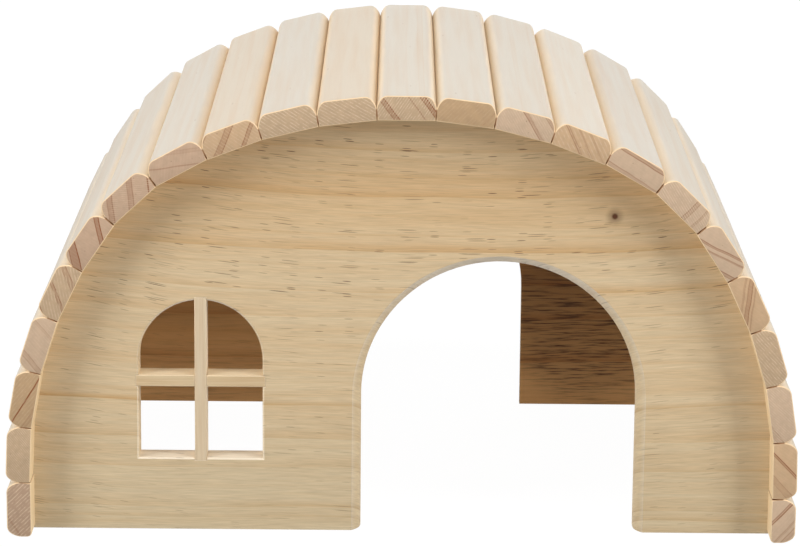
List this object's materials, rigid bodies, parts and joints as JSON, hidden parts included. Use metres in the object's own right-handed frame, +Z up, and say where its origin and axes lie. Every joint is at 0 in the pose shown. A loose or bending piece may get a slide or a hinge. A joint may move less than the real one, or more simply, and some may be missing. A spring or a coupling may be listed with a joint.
{
  "type": "small animal house",
  "caption": "Arched small-animal house: pine slats glued round end walls, round-topped doorways front and rear, and a small arched window with crossed bars.",
  "frame": {"origin": "middle of the footprint, on the ground the house stands on", "axes": "+X to the right when facing the wall with the window, +Y from that front wall towards the rear wall, along the slats, +Z up"},
  "size_m": [0.2802, 0.2, 0.1603],
  "materials": {
    "wall_pine": "planed and sanded bare pine board",
    "slat_pine": "planed bare pine batten, paler than the walls",
    "bar_pine": "sawn and sanded bare pine stick"
  },
  "bodies": {
    "root": {"front_wall": "wall_pine", "rear_wall": "wall_pine", "window_upright_bar": "bar_pine", "window_cross_bar": "bar_pine", "roof_slat_01": "slat_pine", "roof_slat_02": "slat_pine", "roof_slat_03": "slat_pine", "roof_slat_04": "slat_pine", "roof_slat_05": "slat_pine", "roof_slat_06": "slat_pine", "roof_slat_07": "slat_pine", "roof_slat_08": "slat_pine", "roof_slat_09": "slat_pine", "roof_slat_10": "slat_pine", "roof_slat_11": "slat_pine", "roof_slat_12": "slat_pine", "roof_slat_13": "slat_pine", "roof_slat_14": "slat_pine", "roof_slat_15": "slat_pine", "roof_slat_16": "slat_pine", "roof_slat_17": "slat_pine", "roof_slat_18": "slat_pine", "roof_slat_19": "slat_pine", "roof_slat_20": "slat_pine", "roof_slat_21": "slat_pine", "roof_slat_22": "slat_pine", "roof_slat_23": "slat_pine"}
  },
  "joints": []
}
